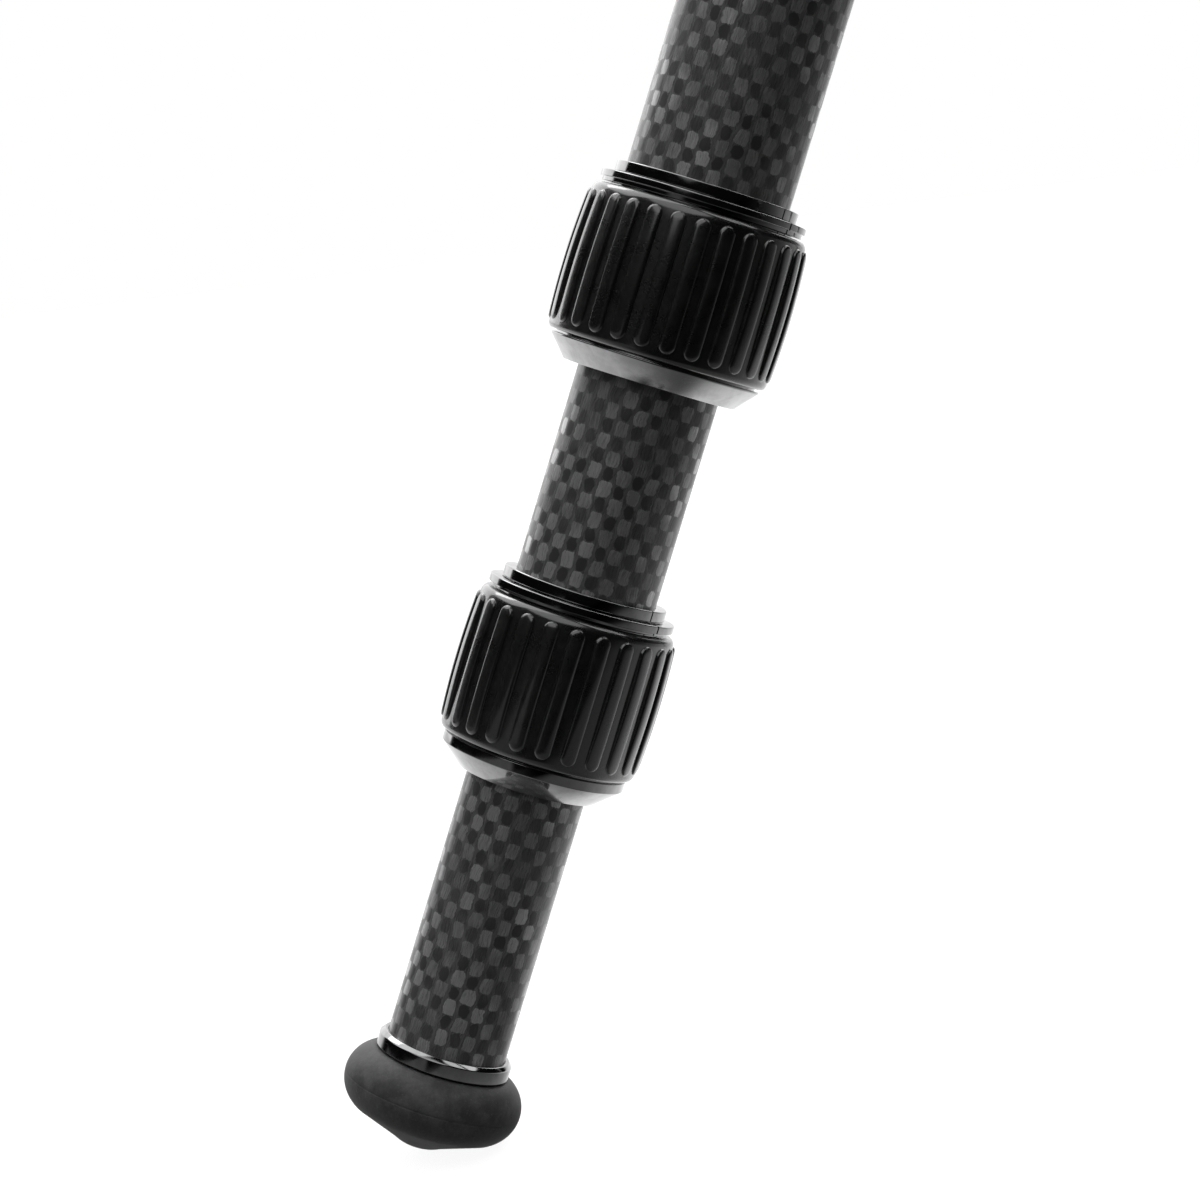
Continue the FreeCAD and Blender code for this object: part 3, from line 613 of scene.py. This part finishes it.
def grip_shape(node, axes, grip):
    """Rubber sleeve with rounded shoulders and domed ribs that rise towards its middle."""
    sizes = bpy.context.scene.tripod.sizes
    low, high, bore, _ = reach(node, axes)
    crests = (grip.low_radius, grip.middle_radius, grip.high_radius)
    reliefs = (sizes.low_relief, sizes.middle_relief, sizes.high_relief)
    lands = [crest - relief for crest, relief in zip(crests, reliefs)]
    tall = high - low

    def land(level):
        return bow(*lands, (level - low) / tall)

    def crest(level):
        return bow(*crests, (level - low) / tall)

    first, last = low + sizes.low_shoulder, high - sizes.high_shoulder
    shares = [i / GRIP_SECTIONS for i in range(1, GRIP_SECTIONS)]
    levels = [first + (last - first) * share for share in shares]
    points = [(bore, low)]
    points += quarter((land(first) - sizes.low_inset, first), sizes.low_inset,
                      sizes.low_shoulder, -90, 0)
    points += [(land(level), level) for level in levels]
    points += quarter((land(last) - sizes.high_inset, last), sizes.high_inset,
                      sizes.high_shoulder, 0, 90)
    points += [(bore, high)]
    bm = spun(outline(points), TURNED_STEPS)

    ribs = bmesh.new()
    half = sizes.rib_width / 2 + sizes.rib_foot
    run = (tall - 2 * sizes.rib_margin) / 2 + sizes.rib_foot - half
    made = bmesh.ops.create_circle(ribs, cap_ends=True, segments=RIB_CORNERS, radius=half,
                                   matrix=Matrix.Rotation(math.pi / RIB_CORNERS, 4, "Z"))
    for vert in made["verts"]:
        vert.co.y += math.copysign(run, vert.co.y)
    top = bmesh.ops.extrude_face_region(ribs, geom=ribs.faces[:], use_keep_orig=True)
    raised = [part for part in top["geom"] if isinstance(part, bmesh.types.BMVert)]
    crown = [part for part in top["geom"] if isinstance(part, bmesh.types.BMFace)]
    bmesh.ops.translate(ribs, vec=(0, 0, RIB_FOOT_RISE), verts=raised)
    for inwards, upwards in RIB_STEPS:
        bmesh.ops.inset_region(ribs, faces=crown, thickness=inwards * MM, depth=upwards,
                               use_even_offset=True, use_boundary=True)
    for share in shares:
        bmesh.ops.bisect_plane(ribs, geom=ribs.verts[:] + ribs.edges[:] + ribs.faces[:],
                               plane_co=(0, (run + half) * (2 * share - 1), 0),
                               plane_no=(0, 1, 0), dist=ON_PLANE)
    middle = (low + high) / 2
    for vert in ribs.verts:
        level = middle + vert.co.y
        rise = (vert.co.z - RIB_SUNK) / (1 - RIB_SUNK)
        radius = land(level) + rise * (crest(level) - land(level))
        turn = vert.co.x / grip.middle_radius
        vert.co = (radius * math.cos(turn), radius * math.sin(turn), level)
    bmesh.ops.rotate(ribs, verts=ribs.verts, cent=(0, 0, 0),
                     matrix=Matrix.Rotation(grip.first_rib, 3, "Z"))
    count = grip.ribs
    bmesh.ops.spin(ribs, geom=ribs.verts[:] + ribs.edges[:] + ribs.faces[:], cent=(0, 0, 0),
                   axis=(0, 0, 1), dvec=(0, 0, 0), angle=2 * math.pi * (count - 1) / count,
                   steps=count - 1, use_merge=False, use_normal_flip=False, use_duplicate=True)
    bmesh.ops.recalc_face_normals(ribs, faces=ribs.faces)
    mesh = bpy.data.meshes.new("ribs")
    ribs.to_mesh(mesh)
    ribs.free()
    bm.from_mesh(mesh)
    bpy.data.meshes.remove(mesh)
    return bm


def collar_shape(node, axes, sizes):
    """Rings and skirt of a lock's collar, with keen edges and a slit through it."""
    section = round_corners(keener(half_section(node, axes), BEVEL_DRAWN), sizes.ring_edge)
    return spun(section, COLLAR_STEPS, sizes.slit / reach(node, axes)[3], sizes.slit_direction)


def softened(node, axes, size):
    """Copy of a CAD node with its sharp edges rounded."""
    bm = merged_copy(node, axes)
    bmesh.ops.dissolve_limit(bm, angle_limit=FLAT, verts=bm.verts, edges=bm.edges,
                             use_dissolve_boundaries=False)
    sharp = [edge for edge in bm.edges
             if len(edge.link_faces) == 2 and edge.calc_face_angle() > CASTING_CORNER]
    bmesh.ops.bevel(bm, geom=sharp, offset=size, offset_type="OFFSET", segments=2, profile=0.5,
                    affect="EDGES", clamp_overlap=True, material=-1)
    return bm


class TRIPOD_OT_leg_tubes(bpy.types.Operator):
    """Carbon tubes of the three legs"""
    bl_idname = "tripod.leg_tubes"
    bl_label = "Leg Tubes"

    def execute(self, context):
        for node, part in (("upper_tube", "upper"), ("mid_tube", "middle"), ("low_tube", "lower")):
            on_each_leg(node, lambda: tube_shape("leg1_" + node, LEG_AXES["leg1"], node),
                        node, part, finish("carbon"))
        return {"FINISHED"}


class TRIPOD_OT_twist_locks(bpy.types.Operator):
    """Collars, nuts and grips of the twist locks"""
    bl_idname = "tripod.twist_locks"
    bl_label = "Twist Locks"

    def execute(self, context):
        settings = context.scene.tripod
        axes = LEG_AXES["leg1"]
        for lock, holder, grip, cone in (("upper", "upper", settings.upper_grip, "cone"),
                                         ("lower", "middle", settings.lower_grip, "metal")):
            collar, nut, sleeve = (f"{lock}_lock_{word}" for word in ("collar", "nut", "grip"))
            on_each_leg(collar, lambda: collar_shape("leg1_" + collar, axes, settings.sizes),
                        collar, holder, finish("metal"))
            on_each_leg(nut, lambda: turned_shape("leg1_" + nut, axes, settings.sizes.ring_edge),
                        nut, lock + "_twist", finish(cone))
            on_each_leg(sleeve, lambda: grip_shape("leg1_" + sleeve, axes, grip),
                        sleeve, lock + "_twist", finish("grip"), GRIP_SHARP)
        return {"FINISHED"}


def foot_shape():
    """Rubber foot with a fine mould groove just below its widest circle."""
    bm = half_section("leg1_foot", LEG_AXES["leg1"])
    widest = max(bm.verts, key=lambda v: v.co.x)
    below = min((e.other_vert(widest) for e in widest.link_edges), key=lambda v: v.co.z)
    run = widest.co.z - below.co.z
    edge = bm.edges.get((widest, below))
    for halves in (3, 2, 1):
        drop = halves * GROOVE_HALF
        edge, vert = bmesh.utils.edge_split(edge, widest, drop / run)
        if halves == 2:
            vert.co.x -= GROOVE_DEPTH
        run = drop
        edge = bm.edges.get((widest, vert))
    return spun(bm, FOOT_STEPS)


class TRIPOD_OT_feet(bpy.types.Operator):
    """Rubber feet and their metal collars"""
    bl_idname = "tripod.feet"
    bl_label = "Feet"

    def execute(self, context):
        axes = LEG_AXES["leg1"]
        on_each_leg("foot_plug",
                    lambda: turned_shape("leg1_foot_plug", axes, TUBE_EDGE, TUBE_STEPS),
                    "foot_plug", "lower", finish("metal"))
        on_each_leg("foot", foot_shape, "foot", "lower", finish("foot"), FOOT_SHARP)
        return {"FINISHED"}


class TRIPOD_OT_knuckles(bpy.types.Operator):
    """Knuckles and angle latches at the top of the legs"""
    bl_idname = "tripod.knuckles"
    bl_label = "Knuckles and Latches"

    def execute(self, context):
        size = context.scene.tripod.sizes.casting_edge
        axes = LEG_AXES["leg1"]
        for node, part in (("knuckle", "upper"), ("angle_latch", "latch")):
            on_each_leg(node, lambda: softened("leg1_" + node, axes, size), node, part,
                        finish("casting"), CASTING_SHARP)
        return {"FINISHED"}


class TRIPOD_OT_shoulder(bpy.types.Operator):
    """Shoulder casting and hinge bolts"""
    bl_idname = "tripod.shoulder"
    bl_label = "Shoulder"

    def execute(self, context):
        size = context.scene.tripod.sizes.casting_edge
        piece("shoulder_finished", softened("shoulder", COLUMN_AXES, size),
              COLUMN_AXES, "shoulder_body", ["shoulder"],
              finish("casting"), CASTING_SHARP)
        piece("hinge_bolts_finished", softened("hinge_bolts", COLUMN_AXES, BOLT_EDGE),
              COLUMN_AXES, "shoulder_body", ["hinge_bolts"],
              finish("steel"), CASTING_SHARP)
        return {"FINISHED"}


class TRIPOD_OT_column(bpy.types.Operator):
    """Centre column, its lock, the head platform with its stud, and the hook"""
    bl_idname = "tripod.column"
    bl_label = "Column and Platform"

    def execute(self, context):
        grip = grip_shape("column_lock_grip", COLUMN_AXES, context.scene.tripod.column_grip)
        piece("centre_column_finished", tube_shape("centre_column", COLUMN_AXES, "centre_column"),
              COLUMN_AXES, "column_body", ["centre_column"], finish("carbon"))
        for node, body, name, slot in (
                ("column_lock_nut", "column_twist", "metal", "black_anodised"),
                ("head_platform", "column_body", "casting", "satin_black_metal"),
                ("head_stud", "column_body", "steel", "steel")):
            piece(node + "_finished", turned_shape(node, COLUMN_AXES, BOLT_EDGE),
                  COLUMN_AXES, body, [node], finish(name))
        piece("column_lock_grip_finished", grip, COLUMN_AXES, "column_twist",
              ["column_lock_grip"], finish("grip"), GRIP_SHARP)
        piece("column_hook_finished", softened("column_hook", COLUMN_AXES, BOLT_EDGE),
              COLUMN_AXES, "column_body", ["column_hook"],
              finish("casting"), CASTING_SHARP)
        return {"FINISHED"}


class TRIPOD_OT_guides(bpy.types.Operator):
    """Plastic sleeves inside the locks"""
    bl_idname = "tripod.guides"
    bl_label = "Inner Guides"

    def execute(self, context):
        inner = ("upper_lock_collet", "lower_lock_collet", "mid_shims", "low_shims")
        of_legs = [f"{leg}_{node}" for leg in LEGS for node in inner]
        finish_nodes(["column_bushing"] + of_legs, "guide")
        return {"FINISHED"}


def towards(tree, direction, aim, inner, outer, strength):
    """Glow of a round panel seen in a direction, its edges given as angles from its middle."""
    facing = add(tree, "ShaderNodeVectorMath", {0: direction, 1: Vector(aim).normalized()},
                 operation="DOT_PRODUCT").outputs[1]
    return ranged(tree, facing, math.cos(math.radians(outer)), math.cos(math.radians(inner)),
                  0.0, strength)


def studio_world():
    """White to the camera; to the object a dark room with pale panels and a strip at the left."""
    world = bpy.data.worlds.new("studio")
    world.use_nodes = True
    bpy.context.scene.world = world
    tree = world.node_tree
    tree.nodes.clear()
    direction = add(tree, "ShaderNodeTexCoord").outputs["Generated"]
    x, y, z = add(tree, "ShaderNodeSeparateXYZ", {0: direction}).outputs
    # Each panel: its direction, the angles of its inner and outer edge, and its strength
    back = towards(tree, direction, (-0.25, 0.58, 0.775), 47, 51, 1.5)
    front = towards(tree, direction, (-0.15, -0.62, 0.77), 25, 34, 0.8)
    core = towards(tree, direction, (0.394, 0.630, 0.669), 24, 30, 2.5)
    right = towards(tree, direction, (0.66, -0.12, 0.74), 16, 20, 1.4)
    backdrop = towards(tree, direction, (0.0, 1.0, 0.0), 36, 50, 1.0)
    # A curtain hides the back panel's lower left part, and the strip stands low at the left
    curtain = maths(tree, "MAXIMUM", ranged(tree, maths(tree, "ADD", x, y), 0.0, 0.06),
                    ranged(tree, z, 0.5, 0.65))
    strip = maths(tree, "MULTIPLY", ranged(tree, x, -0.5, -0.6, 0.0, 0.13),
                  ranged(tree, y, 0.5, 0.4))
    strip = maths(tree, "MULTIPLY", maths(tree, "LESS_THAN", z, 0.16), strip)
    room = 0.004
    for glow in (maths(tree, "MULTIPLY", back, curtain), front, core, right, backdrop, strip):
        room = maths(tree, "MAXIMUM", room, glow)
    seen = add(tree, "ShaderNodeLightPath").outputs["Is Camera Ray"]
    light = add(tree, "ShaderNodeBackground", {0: (1, 1, 1, 1), 1: blended(tree, seen, room, 1.0)})
    add(tree, "ShaderNodeOutputWorld", {0: light.outputs[0]})


def studio_floor():
    """Floor that takes the shadow and lets the camera see through to the white world.

    In mirrors it shows a painted reflection: bright behind the foot and dark in front of it and at
    the far right, with a painted shadow close round the foot.
    """
    bm = bmesh.new()
    bmesh.ops.create_grid(bm, x_segments=1, y_segments=1, size=FLOOR_HALF,
                          matrix=Matrix.Translation(FLOOR_PLACE))
    mesh = bpy.data.meshes.new("floor")
    bm.to_mesh(mesh)
    bm.free()
    floor = bpy.data.objects.new("floor", mesh)
    bpy.context.scene.collection.objects.link(floor)
    material, tree, shader, where = start_material("pale_floor")
    material.cycles.emission_sampling = "NONE"
    tree.nodes.remove(shader)
    offset = add(tree, "ShaderNodeVectorMath", {0: where, 1: FOOT_PLACE},
                 operation="SUBTRACT").outputs[0]
    away = add(tree, "ShaderNodeVectorMath", {0: offset}, operation="LENGTH").outputs[1]
    bearing = add(tree, "ShaderNodeVectorMath", {0: offset}, operation="NORMALIZE").outputs[0]
    backwards = add(tree, "ShaderNodeSeparateXYZ", {0: bearing}).outputs[1]
    behind = ranged(tree, backwards, -1.0, 1.0, 0.0, 1.0, "LINEAR")
    rightwards = add(tree, "ShaderNodeSeparateXYZ", {0: where}).outputs[0]
    # Painted reflection for mirrors: brighter behind the foot, falling off faster towards the right
    fall = maths(tree, "POWER", behind,
                 ranged(tree, rightwards, -0.15, 0.22, 1.3, 3.0, "LINEAR"))
    # Painted shadow: darker within 4 cm of the foot; then a faint painted glow within 0.2 m of it,
    # gone by 0.32 m
    painted_reflection = maths(tree, "MULTIPLY", maths(tree, "MULTIPLY", fall, 1.15),
                 ranged(tree, away, 0.005, 0.04, to_low=0.3, to_high=1.0))
    painted_reflection = maths(tree, "ADD", painted_reflection, ranged(tree, away, 0.2, 0.32, to_low=0.1, to_high=0.0))

    def matte(grey):
        """Diffuse shader of a grey."""
        return add(tree, "ShaderNodeBsdfDiffuse", {0: (grey, grey, grey, 1)}).outputs[0]

    path = add(tree, "ShaderNodeLightPath")
    through = add(tree, "ShaderNodeBsdfTransparent", {0: (0.93, 0.93, 0.93, 1)})
    seen = add(tree, "ShaderNodeAddShader", {0: matte(0.3), 1: through.outputs[0]})
    mirrored = add(tree, "ShaderNodeEmission", {0: (1, 1, 1, 1), 1: painted_reflection})
    surface = add(tree, "ShaderNodeMixShader", {0: path.outputs["Is Glossy Ray"], 1: matte(0.07),
                                                2: mirrored.outputs[0]})
    surface = add(tree, "ShaderNodeMixShader", {0: path.outputs["Is Camera Ray"],
                                                1: surface.outputs[0], 2: seen.outputs[0]})
    tree.links.new(surface.outputs[0], tree.nodes["Material Output"].inputs[0])
    mesh.materials.append(material)


def softbox(name, place, target, width, height, power):
    """Rectangular lamp that the camera doesn't see."""
    lamp = bpy.data.lights.new(name, "AREA")
    lamp.shape, lamp.size, lamp.size_y, lamp.energy = "RECTANGLE", width, height, power
    obj = bpy.data.objects.new(name, lamp)
    obj.location = place
    obj.rotation_euler = (Vector(target) - Vector(place)).to_track_quat("-Z", "Y").to_euler()
    obj.visible_camera = False
    bpy.context.scene.collection.objects.link(obj)


class TRIPOD_OT_studio(bpy.types.Operator):
    """Floor, surroundings, overhead lamp and the camera"""
    bl_idname = "tripod.studio"
    bl_label = "Studio"

    def execute(self, context):
        scene = context.scene
        scene.view_settings.view_transform = "Standard"
        studio_world()
        studio_floor()
        softbox("overhead", (-0.53, 0.75, 1.1), (-0.2, 0.0, 0.1), 0.5, 0.5, 2.5)
        data = bpy.data.cameras.new("camera")
        data.lens, data.sensor_width, data.clip_start = CAMERA_LENS, SENSOR_WIDTH, CLIP_START
        camera = bpy.data.objects.new("camera", data)
        camera.location = CAMERA_PLACE
        camera.rotation_euler = Euler([math.radians(angle) for angle in CAMERA_TURN], "XYZ")
        scene.collection.objects.link(camera)
        scene.camera = camera
        return {"FINISHED"}


OPERATORS = (TRIPOD_OT_leg_tubes, TRIPOD_OT_twist_locks, TRIPOD_OT_feet, TRIPOD_OT_knuckles,
             TRIPOD_OT_shoulder, TRIPOD_OT_column, TRIPOD_OT_guides, TRIPOD_OT_studio)


class TRIPOD_PT_tripod(bpy.types.Panel):
    """Sizes, finishes and pieces of the tripod"""
    bl_label = "Camera Tripod"
    bl_space_type = "VIEW_3D"
    bl_region_type = "UI"
    bl_category = "Tripod"

    def draw(self, context):
        settings = context.scene.tripod
        for group in (settings.sizes, settings.lower_grip, settings.upper_grip,
                      settings.column_grip, settings.finishes):
            box = self.layout.box()
            for name in group.bl_rna.properties.keys():
                if name not in ("rna_type", "name"):
                    box.prop(group, name)
        for operator in OPERATORS:
            self.layout.operator(operator.bl_idname)


CLASSES = (TRIPOD_PG_lower_grip, TRIPOD_PG_upper_grip, TRIPOD_PG_column_grip, TRIPOD_PG_sizes,
           TRIPOD_PG_finishes, TRIPOD_PG_settings, *OPERATORS, TRIPOD_PT_tripod)


def register():
    for item in CLASSES:
        bpy.utils.register_class(item)
    bpy.types.Scene.tripod = PointerProperty(type=TRIPOD_PG_settings)


def unregister():
    del bpy.types.Scene.tripod
    for item in reversed(CLASSES):
        bpy.utils.unregister_class(item)


def main():
    """Build everything in order."""
    register()
    bpy.ops.tripod.leg_tubes()
    bpy.ops.tripod.twist_locks()
    bpy.ops.tripod.feet()
    bpy.ops.tripod.knuckles()
    bpy.ops.tripod.shoulder()
    bpy.ops.tripod.column()
    bpy.ops.tripod.guides()
    bpy.ops.tripod.studio()


if __name__ == "__main__":
    main()
